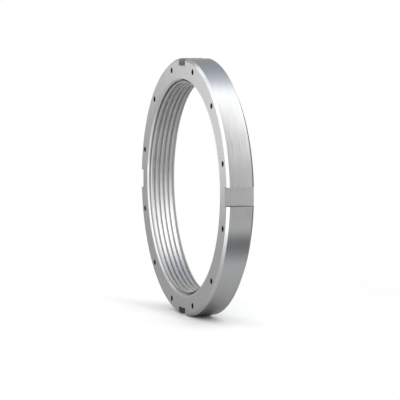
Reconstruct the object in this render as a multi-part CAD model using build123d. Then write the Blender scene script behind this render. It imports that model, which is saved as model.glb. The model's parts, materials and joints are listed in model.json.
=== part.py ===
from build123d import *
import math
import os

# Sizes are in millimetres and angles in degrees.
# Y is the nut's axis and Z is up. The front face looks along -Y and the abutment face along +Y.
# The origin lies on the axis, at mid-width. Radial sizes build outwards from the thread's crests.

# Trapezoidal thread in the bore, right-handed, with a single start
THREAD_MINOR_DIAMETER = 211.0
THREAD_DEPTH = 2.25
THREAD_PITCH = 5.0
THREAD_ROOT_WIDTH = 1.8
THREAD_FLANK_ANGLE = 15.0
FIRST_GROOVE_DISTANCE = 2.75  # from the front face to the middle of the first groove, at the top

# Chamfer at each mouth of the bore, with its radial leg
MOUTH_CHAMFER = 3.75
MOUTH_CHAMFER_ANGLE = 45.0

# Turned ring round the thread, with the radial legs of the chamfers on its rim
RING_THICKNESS = 24.5
WIDTH = 30.0
FRONT_CHAMFER = 2.5
FRONT_CHAMFER_ANGLE = 45.0
ABUTMENT_CHAMFER = 7.5
ABUTMENT_CHAMFER_ANGLE = 30.0

# Spanner slots milled across the rim
SLOT_COUNT = 4
SLOT_WIDTH = 18.5
SLOT_DEPTH = 8.0
SLOT_CORNER_RADIUS = 0.6

# Tapped holes in the front face, drilled at their thread's minor diameter
HOLE_COUNT = 12
HOLE_DISTANCE_FROM_RIM = 9.25
HOLE_DIAMETER = 5.0
HOLE_DEPTH = 14.0
HOLE_COUNTERSINK = 0.4
DRILL_POINT_ANGLE = 118.0

# Each cutter starts this far outside the metal it cuts
CUTTER_OVERRUN = 1.0

crest_radius = THREAD_MINOR_DIAMETER / 2
root_radius = crest_radius + THREAD_DEPTH
mouth_radius = crest_radius + MOUTH_CHAMFER
rim_radius = crest_radius + RING_THICKNESS
front = -WIDTH / 2
back = WIDTH / 2


def axial_leg(radial_leg, angle):
    """How far a chamfer at this angle to the face runs along the axis."""
    return radial_leg * math.tan(math.radians(angle))


def threaded_blank():
    """An overlong tube with the helical groove cut in its bore.

    The groove is a trapezoid carried along a helix. It starts and ends beyond the nut's own
    faces, so that the faces later cut through full turns of it.
    """
    lead_in = 2 * THREAD_PITCH
    groove_start = front + FIRST_GROOVE_DISTANCE - lead_in
    groove_end = back + lead_in
    helix = Helix(
        pitch=THREAD_PITCH,
        height=groove_end - groove_start,
        radius=root_radius,
        center=(0, groove_start, 0),
        direction=(0, 1, 0),
    )
    start = helix @ 0
    section_plane = Plane(origin=start, x_dir=Vector(start.X, 0, start.Z), z_dir=helix % 0)
    height = THREAD_DEPTH + CUTTER_OVERRUN
    half_root = THREAD_ROOT_WIDTH / 2
    half_top = half_root + height * math.tan(math.radians(THREAD_FLANK_ANGLE))
    section = make_face(
        Polyline((0, -half_root), (0, half_root), (-height, half_top), (-height, -half_top), close=True)
    )
    groove = sweep(section_plane * section, path=helix, is_frenet=True)

    half_length = back + 2 * lead_in
    wall = make_face(
        Polyline(
            (crest_radius, -half_length),
            (rim_radius, -half_length),
            (rim_radius, half_length),
            (crest_radius, half_length),
            close=True,
        )
    )
    return revolve(wall, Axis.Y) - groove


def turned_form():
    """The ring's outside as turned: both faces, the rim's chamfers and the mouths of the bore.

    In the half section X is the radius. The two mouth chamfers run on past the crests, so that
    this form leaves the thread between them as it was cut.
    """
    inner_radius = crest_radius - CUTTER_OVERRUN
    mouth_leg = axial_leg(mouth_radius - inner_radius, MOUTH_CHAMFER_ANGLE)
    front_leg = axial_leg(FRONT_CHAMFER, FRONT_CHAMFER_ANGLE)
    abutment_leg = axial_leg(ABUTMENT_CHAMFER, ABUTMENT_CHAMFER_ANGLE)
    section = make_face(
        Polyline(
            (inner_radius, front + mouth_leg),
            (mouth_radius, front),
            (rim_radius - FRONT_CHAMFER, front),
            (rim_radius, front + front_leg),
            (rim_radius, back - abutment_leg),
            (rim_radius - ABUTMENT_CHAMFER, back),
            (mouth_radius, back),
            (inner_radius, back - mouth_leg),
            close=True,
        )
    )
    return revolve(section, Axis.Y)


def slot_cutters():
    """Straight cuts across the whole width, square but for the small radius of the cutter's corners."""
    height = SLOT_DEPTH + CUTTER_OVERRUN
    outline = Pos(0, rim_radius - SLOT_DEPTH + height / 2) * Rectangle(SLOT_WIDTH, height)
    outline = fillet(outline.vertices().sort_by(Axis.Y)[:2], SLOT_CORNER_RADIUS)
    cutter = extrude(Plane.XZ * outline, amount=back + CUTTER_OVERRUN, both=True)
    return [Rot(0, turn * 360 / SLOT_COUNT, 0) * cutter for turn in range(SLOT_COUNT)]


def hole_cutters():
    """Drilled holes with a countersunk mouth and the drill's point, midway between the slots' steps."""
    radius = HOLE_DIAMETER / 2
    mouth = radius + HOLE_COUNTERSINK + CUTTER_OVERRUN
    point_length = radius / math.tan(math.radians(DRILL_POINT_ANGLE / 2))
    section = make_face(
        Polyline(
            (0, CUTTER_OVERRUN),
            (mouth, CUTTER_OVERRUN),
            (radius, -HOLE_COUNTERSINK),
            (radius, -HOLE_DEPTH),
            (0, -HOLE_DEPTH - point_length),
            close=True,
        )
    )
    drill = revolve(Plane.XZ * section, Axis.Z)
    front_face = Plane.XZ.offset(-front)
    circle = PolarLocations(
        rim_radius - HOLE_DISTANCE_FROM_RIM, HOLE_COUNT, start_angle=180 / HOLE_COUNT
    )
    return [front_face * place * drill for place in circle]


lock_nut = threaded_blank() & turned_form()
lock_nut = lock_nut - slot_cutters() - hole_cutters()
lock_nut = lock_nut.solid()

os.makedirs("parts", exist_ok=True)
export_step(lock_nut, "parts/lock_nut.step")
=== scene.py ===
import json
import math

import bmesh
import bpy
import numpy as np
from mathutils import Matrix, Vector


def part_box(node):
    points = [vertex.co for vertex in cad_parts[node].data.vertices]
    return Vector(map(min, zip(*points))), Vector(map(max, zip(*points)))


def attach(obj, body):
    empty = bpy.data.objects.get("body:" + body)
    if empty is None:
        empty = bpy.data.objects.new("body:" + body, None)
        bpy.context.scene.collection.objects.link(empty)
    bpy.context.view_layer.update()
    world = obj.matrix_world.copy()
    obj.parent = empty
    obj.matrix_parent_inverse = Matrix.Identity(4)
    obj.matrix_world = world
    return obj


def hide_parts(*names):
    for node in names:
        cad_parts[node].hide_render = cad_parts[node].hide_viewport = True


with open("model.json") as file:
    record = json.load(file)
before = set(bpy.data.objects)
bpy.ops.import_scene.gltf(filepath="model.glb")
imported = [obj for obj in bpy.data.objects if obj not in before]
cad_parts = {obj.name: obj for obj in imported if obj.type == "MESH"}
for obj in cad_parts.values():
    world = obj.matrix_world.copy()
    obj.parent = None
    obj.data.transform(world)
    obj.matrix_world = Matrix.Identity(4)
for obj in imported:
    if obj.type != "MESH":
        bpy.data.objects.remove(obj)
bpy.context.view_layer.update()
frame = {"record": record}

# The nut's sizes in metres, from the frame where it states them. Y is the nut's axis, and the
# front face, with the tapped holes, looks along -Y.
mounts = {mount["name"]: mount for mount in frame["record"]["mounts"]}
low_corner, high_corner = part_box("lock_nut")
front = low_corner.y
back = high_corner.y
floor_level = low_corner.z
crest_radius = mounts["thread"]["dims"]["r_mm"] / 1000
hole_circle_radius = mounts["tapped_holes"]["dims"]["pcd_mm"] / 2000
hole_radius = mounts["tapped_holes"]["dims"]["hole_r_mm"] / 1000
hole_count = mounts["tapped_holes"]["dims"]["count"]
slot_count = 4
slot_half_width = 0.00925
slot_depth = 0.008
slot_corner_radius = 0.0006
front_chamfer = 0.0025
abutment_chamfer = 0.0075
abutment_slope = math.tan(math.radians(30))
mouth_chamfer = 0.00375
mouth_radius = crest_radius + mouth_chamfer
thread_pitch = 0.005
thread_depth = 0.00225
root_radius = crest_radius + thread_depth
thread_root_half_width = 0.0009
thread_flank_slope = math.tan(math.radians(15))
first_groove_distance = 0.00275
hole_depth = 0.014
hole_countersink = 0.0004
drill_point_slope = 1 / math.tan(math.radians(118 / 2))

# The slots cut away the outermost points of the rim, so the box ends at the slots' edges
rim_radius = math.hypot(high_corner.x, slot_half_width)

# Outside the thread's roots a mouth chamfer is a whole ring, over this length. Inside them the
# thread cuts it up.
mouth_ring = mouth_radius - root_radius

# The turned edges are broken by a small round of this radius, in this many steps
edge_break = 0.0003
edge_steps = 3

# The rows that follow the slots' floors come no nearer to the round at the back edge than the
# first of these distances, and away from the slots they lie the second one from the edge itself
nearest_row = edge_break / 10
next_row = 4 * edge_break

# Size of the front face's cells, how many rows of them lie inside the hole circle, and how many
# the countersink of a tapped hole and the collar round it reach from the hole's middle
face_cell = 0.00105
inner_cells = 9
hole_cells = 4
collar_cells = 6

# Columns over half the flat of a slot's floor, the round of its corner, the fan beside the slot
# and the plain stretch between two tapped holes
flat_columns = 9
corner_columns = 4
fan_columns = 11
between_columns = 28

# Cells across the rim and across the back face
rim_cells = 6
back_cells = 4

# Places closer than the first of these are the same, and points closer than the second are
# made one
hair = 1e-7
merge_distance = 10 * hair

# Faces that meet at more than this angle meet in a sharp edge
sharp_angle = math.radians(35)

# Distances from the nut's middle between which the floor turns to plain white
floor_white_start = 0.15
floor_white_end = 0.45

# The cards and the lamp on the floor start this far above it
card_gap = 0.002

# What a cell of the nut's grid can be part of, in the order of the finishes
surfaces = [
    "turned_face", "turned_rim", "edge_chamfer", "abutment_chamfer", "thread_crest", "thread_root",
    "thread_flank", "thread_end", "slot_floor", "slot_wall", "drilled_hole",
]


def column_plan():
    """The grid's columns for one slot's share of the nut, from midway before it to midway after.

    Midway is the middle of a tapped hole. A column's angle at radius r, counted from the slot's
    middle, is (1 - spread) * asin(offset / r) + spread * angle. With spread 0 the column lies in
    a plane along the slot at that offset, with spread 1 it is a plain radius, and between them
    it fans out. The column in each wall of the slot comes twice, once cut to the slot's floor
    and once whole, so the cells between the two are the wall.
    """
    flat = slot_half_width - slot_corner_radius
    corner_angles = np.radians(np.linspace(0, 90, corner_columns + 1)[1:])
    corner = flat + slot_corner_radius * np.sin(corner_angles)
    inside = np.concatenate([np.linspace(0, flat, flat_columns), corner])
    fan = np.linspace(0, 1, fan_columns)
    cell_angle = face_cell / hole_circle_radius
    hole_angle = math.pi / hole_count
    steps = np.arange(1 - collar_cells, collar_cells + 1)
    half_steps = steps[:collar_cells]
    near_hole = hole_angle + cell_angle * steps
    next_hole = 3 * hole_angle + cell_angle * half_steps
    between = np.linspace(near_hole[-1], next_hole[0] - cell_angle, between_columns + 1)[1:]

    # Five groups: the slot, the fan, the first hole, the plain stretch and half of the next hole
    counts = [len(inside), len(fan), len(steps), len(between), len(half_steps)]
    offset = np.repeat([0.0, slot_half_width, 0.0, 0.0, 0.0], counts)
    offset[:counts[0]] = inside
    spread = np.repeat([0.0, 0.0, 1.0, 1.0, 1.0], counts)
    spread[counts[0]:counts[0] + counts[1]] = fan
    fan_angle = np.full(counts[1], near_hole[0] - cell_angle)
    angle = np.concatenate([np.zeros(counts[0]), fan_angle, near_hole, between, next_hole])
    hole_step = np.repeat([collar_cells], sum(counts))
    hole_step[sum(counts[:2]):sum(counts[:3])] = steps
    hole_step[-counts[4]:] = half_steps
    in_slot = np.repeat([1, 0, 0, 0, 0], counts)

    def both_sides(values, sign):
        return np.concatenate([sign * values[:0:-1], values])

    return {
        "offset": both_sides(offset, -1),
        "spread": both_sides(spread, 1),
        "angle": both_sides(angle, -1),
        "hole_step": both_sides(hole_step, -1),
        "in_slot": both_sides(in_slot, 1) == 1,
    }


def slot_floor(offset):
    """Distance of the slot's floor from the axis, at an offset from the slot's middle.

    Level over the flat, then up the quarter round of the cutter's corner.
    """
    beyond = np.clip(np.abs(offset) - (slot_half_width - slot_corner_radius), 0, slot_corner_radius)
    return rim_radius - slot_depth + slot_corner_radius - np.sqrt(slot_corner_radius ** 2 - beyond ** 2)


def edge_round(before, corner, after):
    """Points of the small round at a turned edge, from one leg of the corner to the other.

    A quadratic curve from where a circle of the edge's radius would touch the first leg to
    where it would touch the second: (1-t)^2 start + 2t(1-t) corner + t^2 end.
    """
    before, corner, after = (np.array(point) for point in (before, corner, after))
    inward = (before - corner) / np.linalg.norm(before - corner)
    outward = (after - corner) / np.linalg.norm(after - corner)
    reach = edge_break / math.tan(math.acos(float(inward @ outward)) / 2)
    t = np.linspace(0, 1, edge_steps + 1)[:, None]
    start, end = corner + reach * inward, corner + reach * outward
    return (1 - t) ** 2 * start + 2 * t * (1 - t) * corner + t ** 2 * end


def outer_rows(plan):
    """Rows of the grid over the nut's outside, from the bore's front mouth round to its back mouth.

    Gives each row's radius and axial place in every column, its steps from the hole circle, and
    the surface that follows it. One row on the front face, one on the back chamfer and one on
    the back face shift to the edge of the slot's floor, by 1 - spread of the way.
    """
    rim_front = front + front_chamfer
    rim_back = back - abutment_chamfer * abutment_slope
    face_edge = rim_radius - front_chamfer
    abutment_edge = rim_radius - abutment_chamfer
    corners = [
        (mouth_radius - mouth_ring, front + mouth_ring),
        (mouth_radius, front),
        (face_edge, front),
        (rim_radius, rim_front),
        (rim_radius, rim_back),
        (abutment_edge, back),
        (mouth_radius, back),
        (mouth_radius - mouth_ring, back - mouth_ring),
    ]
    front_mouth, front_edge, rim_start, rim_end, back_edge, back_mouth = (
        edge_round(*corners[number - 1:number + 2]) for number in range(1, len(corners) - 1)
    )
    floor_edge = np.hypot(slot_floor(plan["offset"]), plan["offset"])

    def to_floor_edge(edge, plain_radius):
        return (1 - plan["spread"]) * edge + plan["spread"] * plain_radius

    steps = np.arange(-inner_cells, collar_cells + 1)
    face_radii = [hole_circle_radius + step * face_cell for step in steps]
    # The face's row that lies nearest to the slot's floor becomes its edge
    floor_row = round((floor_edge.max() - face_radii[0]) / face_cell)
    face_radii[floor_row] = to_floor_edge(floor_edge, face_radii[floor_row])
    least = back_edge[0, 0] + nearest_row
    on_chamfer = to_floor_edge(np.maximum(floor_edge, least), abutment_edge + next_row)
    most = back_edge[-1, 0] - nearest_row
    on_face = to_floor_edge(np.minimum(floor_edge, most), abutment_edge - next_row)
    chamfer_axial = back - (on_chamfer - abutment_edge) * abutment_slope
    rim_places = np.linspace(rim_front, rim_back, rim_cells + 1)[1:-1]
    back_radii = np.linspace(abutment_edge, mouth_radius, back_cells + 1)[1:-1]

    # Off the front face every row counts as beyond the holes' collars
    far = collar_cells
    rows = [(corners[0], far, "edge_chamfer")]
    rows += [(point, far, "edge_chamfer") for point in front_mouth]
    rows += [((radius, front), step, "turned_face") for radius, step in zip(face_radii, steps)]
    rows += [(point, far, "edge_chamfer") for point in front_edge]
    rows += [(point, far, "edge_chamfer") for point in rim_start[:-1]]
    rows += [(rim_start[-1], far, "turned_rim")]
    rows += [((rim_radius, y), far, "turned_rim") for y in rim_places]
    rows += [(point, far, "abutment_chamfer") for point in rim_end]
    rows += [((on_chamfer, chamfer_axial), far, "abutment_chamfer")]
    rows += [(point, far, "abutment_chamfer") for point in back_edge[:-1]]
    rows += [(back_edge[-1], far, "turned_face"), ((on_face, back), far, "turned_face")]
    rows += [((radius, back), far, "turned_face") for radius in back_radii]
    rows += [(point, far, "edge_chamfer") for point in back_mouth]
    rows += [(corners[-1], far, "edge_chamfer")]
    width = len(plan["offset"])
    radius = np.array([np.broadcast_to(place[0], width) for place, _, _ in rows])
    axial = np.array([np.broadcast_to(place[1], width) for place, _, _ in rows])
    return radius, axial, np.array([step for _, step, _ in rows]), [name for _, _, name in rows]


def at_corners(values, join):
    """Joins the values at the four corners of each cell, by a minimum or a logical operation."""
    return join.reduce([values[:-1, :-1], values[1:, :-1], values[:-1, 1:], values[1:, 1:]])


def slot_share(plan, number):
    """The outside of one slot's share of the nut: its points and the surface of each cell.

    The grid is laid on the turned form. In the slot's columns it is then cut down to the floor,
    and near a tapped hole its square rings of cells become round rings that go down the hole.
    """
    radius, axial, row_step, names = outer_rows(plan)
    across = np.maximum(radius, mouth_radius)
    angle = (1 - plan["spread"]) * np.arcsin(plan["offset"] / across) + plan["spread"] * plan["angle"]
    outward, sideways = radius * np.cos(angle), radius * np.sin(angle)
    on_floor = plan["in_slot"] & (outward > slot_floor(plan["offset"]) - hair)
    outward = np.where(on_floor, slot_floor(plan["offset"]), outward)
    axial = np.where(on_floor, across_floor(axial, on_floor), axial)

    ring = np.maximum(np.abs(row_step)[:, None], np.abs(plan["hole_step"])[None, :])
    ring = np.minimum(ring, collar_cells)
    outward, sideways, depth = down_the_hole(plan, row_step, ring, outward, sideways)
    turn = number * 2 * math.pi / slot_count
    x = outward * math.cos(turn) - sideways * math.sin(turn)
    z = outward * math.sin(turn) + sideways * math.cos(turn)

    surface = np.tile([[surfaces.index(name)] for name in names[:-1]], (1, len(plan["offset"]) - 1))
    flat = slot_half_width - slot_corner_radius
    off_middle = np.abs(plan["offset"]) + np.where(plan["in_slot"], 0, slot_half_width)
    beside_flat = np.minimum(off_middle[:-1], off_middle[1:]) > flat - hair
    surface[at_corners(on_floor, np.logical_and)] = surfaces.index("slot_floor")
    surface[beside_flat & at_corners(on_floor, np.logical_or)] = surfaces.index("slot_wall")
    surface[at_corners(ring, np.minimum) < hole_cells] = surfaces.index("drilled_hole")
    return np.stack([x, axial + depth, z], axis=-1), surface, angle[0] + turn


def across_floor(axial, on_floor):
    """Axial places of the rows in each column, for those that lie on the slot's floor.

    They are spread evenly from the first of them to the last, which are at the floor's edges.
    """
    column = np.arange(axial.shape[1])
    first = np.argmax(on_floor, axis=0)
    last = len(axial) - 1 - np.argmax(on_floor[::-1], axis=0)
    share = (np.arange(len(axial))[:, None] - first) / (last - first)
    return axial[first, column] + share * (axial[last, column] - axial[first, column])


def down_the_hole(plan, row_step, ring, outward, sideways):
    """Moves the rings of cells round each tapped hole on to the hole, and gives their depth.

    A point of square ring n keeps its place in the ring's order, so its angle grows evenly along
    the square's sides. The rings are, from the outside: plain face, collar, the countersink's
    two edges, the bottom of the bore, halfway down the drill's cone and its point. The plain
    face's ring stays square, and the collar goes halfway from a square to a round ring.
    """
    row = np.broadcast_to(row_step[:, None], ring.shape)
    column = np.broadcast_to(plan["hole_step"][None, :], ring.shape)
    upright = np.abs(row) >= np.abs(column)
    long_side = np.where(upright, row, column)
    short_side = np.where(upright, column, row)
    eighth = math.pi / 4 * short_side / np.where(long_side == 0, 1, long_side)
    around = np.where(upright, eighth, math.pi / 2 - eighth) + np.where(long_side < 0, math.pi, 0)

    point = hole_depth + hole_radius * drill_point_slope
    mouth = hole_radius + hole_countersink
    collar = (hole_cells + collar_cells) / 2 * face_cell
    radii = np.array([0, hole_radius / 2, hole_radius, hole_radius, mouth, collar, 0])
    depths = np.array([point, (hole_depth + point) / 2, hole_depth, hole_countersink, 0, 0, 0])

    middle = plan["angle"] - plan["hole_step"] * face_cell / hole_circle_radius
    circle = radii[ring]
    radial = hole_circle_radius + circle * np.cos(around)
    tangential = circle * np.sin(around)
    round_outward = radial * np.cos(middle) - tangential * np.sin(middle)
    round_sideways = radial * np.sin(middle) + tangential * np.cos(middle)
    share = np.select([ring >= collar_cells, ring > hole_cells], [0.0, 0.5], 1.0)
    outward = outward + share * (round_outward - outward)
    sideways = sideways + share * (round_sideways - sideways)
    return outward, sideways, depths[ring]


def bore_rows(turn):
    """The grid through the threaded bore, from its back mouth to its front mouth.

    The thread's edges slide along the axis by one pitch a turn: a groove's middle lies
    first_groove_distance - pitch * (turn - quarter turn) / full turn behind the front face, plus
    whole pitches. The bore's radius is the larger of the thread's and a mouth chamfer's, and
    between each two edges one more row goes to where the chamfer cuts the thread. At the front
    mouth the cut ends of the thread, and the flanks beside them, have a finish of their own.
    """
    half_top = thread_root_half_width + thread_depth * thread_flank_slope
    edges = np.array([-half_top, -thread_root_half_width, thread_root_half_width, half_top])
    edge_radii = np.array([crest_radius, root_radius, root_radius, crest_radius])
    first = front + first_groove_distance - thread_pitch * (turn - math.pi / 2) / (2 * math.pi)
    grooves = np.arange(-1, round((back - front) / thread_pitch) + 2)
    axial = (first + (grooves[:, None, None] * thread_pitch + edges[:, None])).reshape(-1, len(turn))
    radius = np.broadcast_to(np.tile(edge_radii, len(grooves))[:, None], axial.shape)

    def chamfer_radius(y):
        return mouth_radius - np.minimum(y - front, back - y)

    excess = chamfer_radius(axial) - radius
    crosses = excess[:-1] * excess[1:] < 0
    share = np.where(crosses, excess[:-1] / np.where(crosses, excess[:-1] - excess[1:], 1), 0)
    axial = np.stack([axial[:-1], axial[:-1] + share * np.diff(axial, axis=0)], axis=1)
    radius = np.stack([radius[:-1], radius[:-1] + share * np.diff(radius, axis=0)], axis=1)
    axial, radius = axial.reshape(-1, len(turn)), radius.reshape(-1, len(turn))
    axial = np.clip(axial, front + mouth_ring, back - mouth_ring)
    on_chamfer = chamfer_radius(axial) > radius - hair
    radius = np.maximum(radius, chamfer_radius(axial))

    order = [surfaces.index(f"thread_{part}") for part in ("flank", "root", "flank", "crest")]
    row_surface = np.resize(np.repeat(order, 2), len(axial) - 1)
    surface = np.tile(row_surface[:, None], (1, len(turn) - 1))
    cut_end = at_corners(on_chamfer, np.logical_and)
    near_front = axial[:-1, 1:] - front < mouth_radius - crest_radius
    first_flank = (surface == surfaces.index("thread_flank")) & near_front
    surface[cut_end] = surfaces.index("edge_chamfer")
    # The cut ends and first flanks take the finish with painted shade towards the thread's roots
    surface[cut_end & near_front | first_flank] = surfaces.index("thread_end")
    points = np.stack([radius * np.cos(turn), axial, radius * np.sin(turn)], axis=-1)
    return points[::-1], surface[::-1]


def grid_object(name, points, surface):
    """A mesh of the grid's cells, with the points that coincide made one and bad cells gone."""
    rows, columns = points.shape[:2]
    corner = np.arange(rows * columns).reshape(rows, columns)
    around_cell = [corner[:-1, :-1], corner[1:, :-1], corner[1:, 1:], corner[:-1, 1:]]
    cells = np.stack(around_cell, axis=-1).reshape(-1, 4)
    mesh = bpy.data.meshes.new(name)
    mesh.vertices.add(rows * columns)
    mesh.vertices.foreach_set("co", points.astype(np.float32).ravel())
    mesh.loops.add(cells.size)
    mesh.loops.foreach_set("vertex_index", cells.ravel())
    mesh.polygons.add(len(cells))
    mesh.polygons.foreach_set("loop_start", np.arange(0, cells.size, 4))
    mesh.polygons.foreach_set("material_index", surface.ravel())
    mesh.update(calc_edges=True)
    form = bmesh.new()
    form.from_mesh(mesh)
    bmesh.ops.remove_doubles(form, verts=form.verts, dist=merge_distance)
    form.to_mesh(mesh)
    form.free()
    mesh.validate()
    mesh.polygons.foreach_set("use_smooth", np.ones(len(mesh.polygons), bool))
    mesh.set_sharp_from_angle(angle=sharp_angle)
    piece = bpy.data.objects.new(name, mesh)
    bpy.context.scene.collection.objects.link(piece)
    even_faces = piece.modifiers.new("even_faces", "WEIGHTED_NORMAL")
    even_faces.keep_sharp = True
    return piece


def make_nut():
    """The whole nut as one closed grid: its outside slot by slot, then back through the bore."""
    plan = column_plan()
    shares = [slot_share(plan, number) for number in range(slot_count)]
    outside = np.concatenate([shares[0][0]] + [points[:, 1:] for points, _, _ in shares[1:]], axis=1)
    outside_surface = np.concatenate([surface for _, surface, _ in shares], axis=1)
    turn = np.concatenate([shares[0][2]] + [angle[1:] for _, _, angle in shares[1:]])
    bore, bore_surface = bore_rows(turn)
    seam = np.full((1, len(turn) - 1), surfaces.index("edge_chamfer"))
    points = np.concatenate([outside, bore])
    surface = np.concatenate([outside_surface, seam, bore_surface])
    return grid_object("lock_nut_finished", points, surface)


class Number:
    """A number in a material: the socket that gives it, with arithmetic that adds Math nodes."""

    def __init__(self, finish, socket):
        self.finish = finish
        self.socket = socket

    def maths(self, operation, *values):
        return self.finish.add("ShaderNodeMath", {"operation": operation}, *values)

    def __add__(self, other):
        return self.maths("ADD", self, other)

    def __sub__(self, other):
        return self.maths("SUBTRACT", self, other)

    def __rsub__(self, other):
        return self.maths("SUBTRACT", other, self)

    def __mul__(self, other):
        return self.maths("MULTIPLY", self, other)

    def __truediv__(self, other):
        return self.maths("DIVIDE", self, other)

    def __pow__(self, other):
        return self.maths("POWER", self, other)

    __radd__ = __add__
    __rmul__ = __mul__


class Finish:
    """A node tree under construction, for a material, a lamp or the world."""

    def __init__(self, tree):
        self.tree = tree
        tree.nodes.clear()

    def add(self, kind, settings, *values, output=0, **named):
        """Adds a node, sets it up, fills its sockets in order and by name, and gives its output."""
        node = self.tree.nodes.new(kind)
        for name, value in settings.items():
            if name == "stops":
                set_stops(node.color_ramp, value)
            else:
                setattr(node, name, value)
        sockets = list(zip(node.inputs, values))
        sockets += [(node.inputs[name.replace("_", " ")], value) for name, value in named.items()]
        for socket, value in sockets:
            if isinstance(value, Number):
                self.tree.links.new(value.socket, socket)
            elif value is not None:
                socket.default_value = value
        return Number(self, node.outputs[output]) if node.outputs else None


def set_stops(ramp, stops):
    """Gives a colour ramp its stops, each a place and a grey or a colour."""
    while len(ramp.elements) < len(stops):
        ramp.elements.new(1)
    for element, (place, shade) in zip(ramp.elements, stops):
        colour = (shade, shade, shade) if isinstance(shade, float) else shade
        element.position = place
        element.color = (*colour, 1)


def steel(
    name, colour, roughness, mark_size=0.0004, mark_depth=0.00001, mark_shade=0.03,
    grazing_tint=0.6, painted_root_shade=None,
):
    """Bare steel with fine marks round the nut's axis, as turning leaves them.

    The marks are noise on three numbers: the two of the direction from the axis, slowly, and
    the distance along the section, radius + y, finely. They vary the height, the colour and the
    roughness, and a broad noise varies the last two as well. The grazing tint is how bright the
    steel stays where it is seen at a low angle. With a root shade, the colour falls from the
    thread's crests to that share of itself at its roots: painted shade in the grooves.
    """
    direction_scale = 6.0
    patch_scale = 45.0
    patch_shade = 0.06
    mark_roughness = 0.1
    patch_roughness = 0.08

    material = bpy.data.materials.new(name)
    material.use_nodes = True
    finish = Finish(material.node_tree)
    place = finish.add("ShaderNodeTexCoord", {}, output="Object")
    x = finish.add("ShaderNodeSeparateXYZ", {}, place, output="X")
    y = finish.add("ShaderNodeSeparateXYZ", {}, place, output="Y")
    z = finish.add("ShaderNodeSeparateXYZ", {}, place, output="Z")
    radius = (x * x + z * z) ** 0.5
    along = (radius + y) / mark_size
    across = x / radius * direction_scale
    upward = z / radius * direction_scale
    round_axis = finish.add("ShaderNodeCombineXYZ", {}, across, along, upward)
    marks = finish.add(
        "ShaderNodeTexNoise", {"noise_dimensions": "3D"}, round_axis,
        Scale=1.0, Detail=2.0, Roughness=0.5,
    )
    patches = finish.add(
        "ShaderNodeTexNoise", {"noise_dimensions": "3D"}, place,
        Scale=patch_scale, Detail=3.0, Roughness=0.55,
    )
    shade = 1 + (patches - 0.5) * patch_shade + (marks - 0.5) * mark_shade
    # Painted shade: the colour darkens from the thread's crests towards its roots
    if painted_root_shade:
        shade = shade * finish.add(
            "ShaderNodeMapRange", {}, radius,
            From_Min=crest_radius, From_Max=root_radius, To_Min=1.0, To_Max=painted_root_shade,
        )
    tone = finish.add("ShaderNodeVectorMath", {"operation": "SCALE"}, colour, Scale=shade)
    bump = finish.add("ShaderNodeBump", {}, Strength=1.0, Distance=mark_depth, Height=marks)
    shader = finish.add(
        "ShaderNodeBsdfPrincipled", {},
        Base_Color=tone,
        Metallic=1.0,
        Roughness=roughness + (marks - 0.5) * mark_roughness + (patches - 0.5) * patch_roughness,
        Specular_Tint=(grazing_tint, grazing_tint, grazing_tint, 1.0),
        Normal=bump,
    )
    finish.add("ShaderNodeOutputMaterial", {}, shader)
    return material


def make_finishes():
    """The nut's finishes, one for each surface, in the order of the list of surfaces.

    Their shades are chosen to come near the photo's in this light.
    """
    grey = (0.34, 0.341, 0.343)
    coarse = {"mark_size": 0.0009, "mark_shade": 0.25}
    shallow = {"mark_depth": 0.000003}
    return [
        steel("turned_face", grey, roughness=0.24),
        steel("turned_rim", grey, roughness=0.21, grazing_tint=0.55, **coarse),
        steel("edge_chamfer", (0.4, 0.401, 0.403), roughness=0.15),
        steel("abutment_chamfer", grey, roughness=0.2, grazing_tint=0.25),
        # Painted light and shade on the thread: darker roots, far lighter flanks, slightly lighter crests
        steel("thread_crest", (0.374, 0.371, 0.367), roughness=0.2, **shallow),
        steel("thread_root", (0.29, 0.291, 0.293), roughness=0.2, **shallow),
        steel("thread_flank", (0.755, 0.75, 0.745), roughness=0.3, **shallow),
        steel("thread_end", (0.36, 0.361, 0.363), roughness=0.3, painted_root_shade=0.4, **shallow),
        steel("slot_floor", grey, roughness=0.22, **coarse),
        steel("slot_wall", (0.25, 0.251, 0.253), roughness=0.4, grazing_tint=0.4),
        # The tapped holes' near black is painted shade inside them
        steel("drilled_hole", (0.02, 0.02, 0.02), roughness=0.5),
    ]


def floor_finish():
    """Pale matt floor that keeps the nut's shadow, and turns to plain white well away from it.

    The white is only for what the camera sees, directly or mirrored, and grows with the
    distance from the nut's middle. The pale colour is a little warm, which makes up for the
    world's faint blue.
    """
    pale = (0.95, 0.943, 0.932, 1)
    white = (1, 1, 1, 1)
    material = bpy.data.materials.new("pale_floor")
    material.use_nodes = True
    finish = Finish(material.node_tree)
    place = finish.add("ShaderNodeTexCoord", {}, output="Object")
    distance = finish.add("ShaderNodeVectorMath", {"operation": "LENGTH"}, place, output="Value")
    far = finish.add(
        "ShaderNodeMapRange", {}, distance, From_Min=floor_white_start, From_Max=floor_white_end
    )
    seen = sum(
        finish.add("ShaderNodeLightPath", {}, output=f"Is {kind} Ray")
        for kind in ("Camera", "Glossy", "Transmission")
    )
    matt = finish.add("ShaderNodeBsdfPrincipled", {}, Base_Color=pale, Roughness=0.9)
    plain_white = finish.add("ShaderNodeEmission", {}, white, 1.0)
    mixed = finish.add("ShaderNodeMixShader", {}, far * seen, matt, plain_white)
    finish.add("ShaderNodeOutputMaterial", {}, mixed)
    return material


def make_floor():
    """A flat square that the nut stands on, far larger than the view."""
    half_side = 30.0
    signs = [(-1, -1), (1, -1), (1, 1), (-1, 1)]
    corners = [(x * half_side, y * half_side, floor_level) for x, y in signs]
    mesh = bpy.data.meshes.new("floor")
    mesh.from_pydata(corners, [], [(0, 1, 2, 3)])
    floor = bpy.data.objects.new("floor", mesh)
    bpy.context.scene.collection.objects.link(floor)
    mesh.materials.append(floor_finish())


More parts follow.
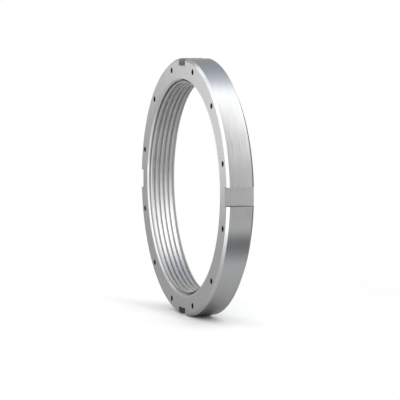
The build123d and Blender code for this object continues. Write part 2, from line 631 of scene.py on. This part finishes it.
def make_dark_card(name, left, right, near, far, shades, height=0.0):
    """A matt strip that shows only in reflections, with its shades from left to right.

    It lies just above the floor, or rises from its near edge to its far one by the height given.
    """
    mesh = bpy.data.meshes.new(name)
    foot = floor_level + card_gap
    top = foot + height
    corners = [(left, near, foot), (right, near, foot), (right, far, top), (left, far, top)]
    mesh.from_pydata(corners, [], [(0, 1, 2, 3)])
    material = bpy.data.materials.new(name)
    material.use_nodes = True
    finish = Finish(material.node_tree)
    place = finish.add("ShaderNodeTexCoord", {}, output="Object")
    x = finish.add("ShaderNodeSeparateXYZ", {}, place, output="X")
    shade = finish.add("ShaderNodeValToRGB", {"stops": shades}, (x - left) / (right - left))
    dark = finish.add("ShaderNodeBsdfPrincipled", {}, Base_Color=shade, Roughness=1.0)
    finish.add("ShaderNodeOutputMaterial", {}, dark)
    mesh.materials.append(material)
    card = bpy.data.objects.new(name, mesh)
    card.visible_camera = False
    card.visible_diffuse = False
    card.visible_transmission = False
    card.visible_shadow = False
    bpy.context.scene.collection.objects.link(card)


def make_dark_cards():
    """Two cards on the floor beside the nut and an upright one far to its left."""
    make_dark_card(
        "right_card", left=0.13, right=0.29, near=-0.06, far=0.1,
        shades=[(0.0, 0.98), (0.22, 0.48), (0.38, 0.31), (0.52, 0.36), (0.8, 0.82), (1.0, 0.98)],
    )
    make_dark_card(
        "left_card", left=-0.8, right=0.0, near=0.03, far=0.3,
        shades=[(0.0, 0.58), (0.65, 0.58), (0.85, 0.68), (1.0, 0.8)],
    )
    make_dark_card(
        "upright_card", left=-1.5, right=-0.75, near=-0.3, far=-0.3, height=0.18,
        shades=[(0.0, 0.56), (0.6, 0.6), (1.0, 0.92)],
    )


def make_world():
    """An evenly white studio, faintly blue in one part of its ceiling."""
    blue_direction = (-0.43, 0.34, 0.84)
    blue_part = [(0.85, (1.0, 1.0, 1.0)), (0.97, (0.97, 1.07, 1.19))]
    world = bpy.data.worlds.new("studio")
    world.use_nodes = True
    finish = Finish(world.node_tree)
    direction = finish.add("ShaderNodeTexCoord", {}, output="Generated")
    nearness = finish.add(
        "ShaderNodeVectorMath", {"operation": "DOT_PRODUCT"}, direction, blue_direction, output="Value"
    )
    colour = finish.add("ShaderNodeValToRGB", {"stops": blue_part}, nearness)
    background = finish.add("ShaderNodeBackground", {}, colour, 1.0)
    finish.add("ShaderNodeOutputWorld", {}, background)
    bpy.context.scene.world = world


def make_lamp(name, middle, towards, length, size, level, across, along, lights_floor=True):
    """A flat soft lamp, brighter in some parts than in others.

    Its level is its brightness where both ramps are 1, as the nut's surfaces mirror it, where
    white is 1. It is turned so that its length runs the way given. The ramps of its level go
    across it, to the left as seen from behind, and along it. A lamp that doesn't light the floor
    shows only in what mirrors it.
    """
    lamp = bpy.data.lights.new(name, "AREA")
    lamp.shape = "RECTANGLE"
    lamp.size, lamp.size_y = size
    lamp.energy = level * math.pi * size[0] * size[1]
    lamp.use_nodes = True
    finish = Finish(lamp.node_tree)
    place = finish.add("ShaderNodeNewGeometry", {}, output="Parametric")
    glow = 1.0
    for axis, stops in (("X", across), ("Y", along)):
        share = finish.add("ShaderNodeSeparateXYZ", {}, place, output=axis)
        glow = glow * finish.add("ShaderNodeValToRGB", {"stops": stops}, share)
    finish.add("ShaderNodeOutputLight", {}, finish.add("ShaderNodeEmission", {}, (1, 1, 1, 1), glow))
    holder = bpy.data.objects.new(name, lamp)
    behind = -Vector(towards).normalized()
    length = Vector(length).normalized()
    axes = Matrix((length.cross(behind), length, behind)).transposed()
    holder.location = middle
    holder.visible_diffuse = lights_floor
    holder.rotation_mode = "QUATERNION"
    holder.rotation_quaternion = axes.to_quaternion()
    bpy.context.scene.collection.objects.link(holder)


def make_lamps():
    """The key lamp behind the nut, three lamps in front of it and one that lies on the floor.

    The key lamp is two lamps, so that the nut mirrors twice as much of it as lights the floor.
    They stand 10 mm apart, because two lamps in the very same place lose part of their light.
    """
    for name, behind_nut, lights_floor in (("key_lamp", 0.25, True), ("key_lamp_on_nut", 0.26, False)):
        make_lamp(
            name, middle=(0.28, behind_nut, 0.47), towards=(0, -1, 0), length=(-0.46, 0, 0.89),
            size=(1.0, 1.3), level=1.75,
            across=[(0.0, 0.0), (0.22, 0.15), (0.4, 0.95), (0.5, 1.0), (0.58, 0.9), (0.78, 0.2), (1.0, 0.0)],
            along=[
                (0.0, 0.1), (0.18, 0.4), (0.3, 0.9), (0.42, 1.0), (0.55, 0.95),
                (0.68, 0.62), (0.75, 0.6), (0.85, 0.8), (1.0, 0.7),
            ],
            lights_floor=lights_floor,
        )
    make_lamp(
        "front_lamp", middle=(0.05, -0.6, 0.45), towards=(0, 1, 0), length=(-0.55, 0, 0.83),
        size=(1.2, 1.4), level=1.75,
        across=[(0.0, 0.0), (0.25, 0.6), (0.45, 1.0), (0.6, 1.0), (0.8, 0.4), (1.0, 0.0)],
        along=[(0.0, 0.7), (0.3, 1.0), (0.7, 1.0), (1.0, 0.7)],
        lights_floor=False,
    )
    make_lamp(
        "upper_lamp", middle=(-0.95, -0.6, 0.97), towards=(0, 1, 0), length=(0, 0, 1),
        size=(1.5, 0.9), level=1.35,
        across=[(0.0, 0.0), (0.4, 0.9), (0.7, 1.0), (1.0, 0.0)],
        along=[(0.0, 0.0), (0.25, 0.4), (0.5, 1.0), (0.8, 1.0), (1.0, 0.5)],
    )
    make_lamp(
        "left_lamp", middle=(-1.05, -0.6, 0.12), towards=(0, 1, 0), length=(0, 0, 1),
        size=(1.1, 0.55), level=2.25,
        across=[(0.0, 0.0), (0.15, 0.9), (0.3, 1.0), (0.7, 1.0), (1.0, 0.0)],
        along=[(0.0, 0.8), (0.5, 1.0), (1.0, 0.3)],
    )
    make_lamp(
        "table_lamp", middle=(0.27, -0.42, floor_level + card_gap), towards=(0, 0, 1), length=(0, 1, 0),
        size=(0.8, 0.7), level=2.0,
        across=[(0.0, 0.0), (0.3, 0.9), (0.45, 1.0), (0.65, 1.0), (0.76, 0.42), (1.0, 0.2)],
        along=[(0.0, 0.6), (0.3, 1.0), (0.7, 1.0), (0.85, 0.5), (1.0, 0.0)],
    )


def make_camera():
    """A long lens, a little higher than the nut's top and far round to the right of its face."""
    azimuth = math.radians(70)
    elevation = math.radians(5)
    distance = 2.2414
    to_the_right = 0.0182
    below = 0.01287
    lens = 200.2
    sensor_width = 36
    toward_camera = Vector((
        math.sin(azimuth) * math.cos(elevation),
        -math.cos(azimuth) * math.cos(elevation),
        math.sin(elevation),
    ))
    right = Vector((math.cos(azimuth), math.sin(azimuth), 0))
    up = toward_camera.cross(right)
    data = bpy.data.cameras.new("camera")
    data.lens = lens
    data.sensor_width = sensor_width
    camera = bpy.data.objects.new("camera", data)
    middle_of_front = Vector((0, front, 0))
    camera.location = middle_of_front + toward_camera * distance + right * to_the_right - up * below
    camera.rotation_mode = "QUATERNION"
    camera.rotation_quaternion = (-toward_camera).to_track_quat("-Z", "Y")
    bpy.context.scene.collection.objects.link(camera)
    bpy.context.scene.camera = camera


make_camera()
make_world()
make_lamps()
make_floor()
make_dark_cards()

nut = make_nut()
for finish_material in make_finishes():
    nut.data.materials.append(finish_material)
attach(nut, "root")
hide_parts("lock_nut")

bpy.context.scene.view_settings.view_transform = "Standard"
